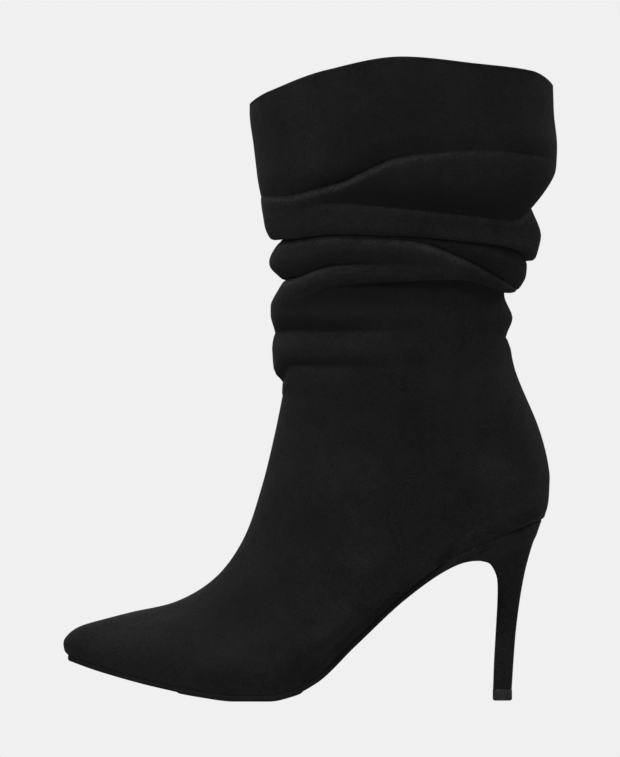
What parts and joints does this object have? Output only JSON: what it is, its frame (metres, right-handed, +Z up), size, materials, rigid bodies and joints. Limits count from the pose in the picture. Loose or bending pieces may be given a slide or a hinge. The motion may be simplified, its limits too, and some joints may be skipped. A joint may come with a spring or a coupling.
{
  "type": "high-heeled slouch boot",
  "caption": "Women's left pull-on boot in black suede: pointed toe, slouched shaft with soft rolls under a wide cuff, and a slim covered high heel with a hard top lift",
  "frame": {"origin": "on the floor, under the middle of the boot's box", "axes": "+Z up, toe along -X, heel along +X, outer side of the foot along -Y"},
  "size_m": [0.242, 0.094, 0.3157],
  "materials": {
    "suede": "black suede with a short, soft, matt nap",
    "sock_lining": "dark smooth sock lining",
    "sole": "black moulded sole, satin",
    "heel_cover": "black suede wrapped over a hard heel",
    "lift": "dark grey hard plastic, satin"
  },
  "bodies": {
    "root": {"upper": "suede", "insole": "sock_lining", "outsole": "sole", "heel": "heel_cover", "top_lift": "lift"}
  },
  "joints": []
}
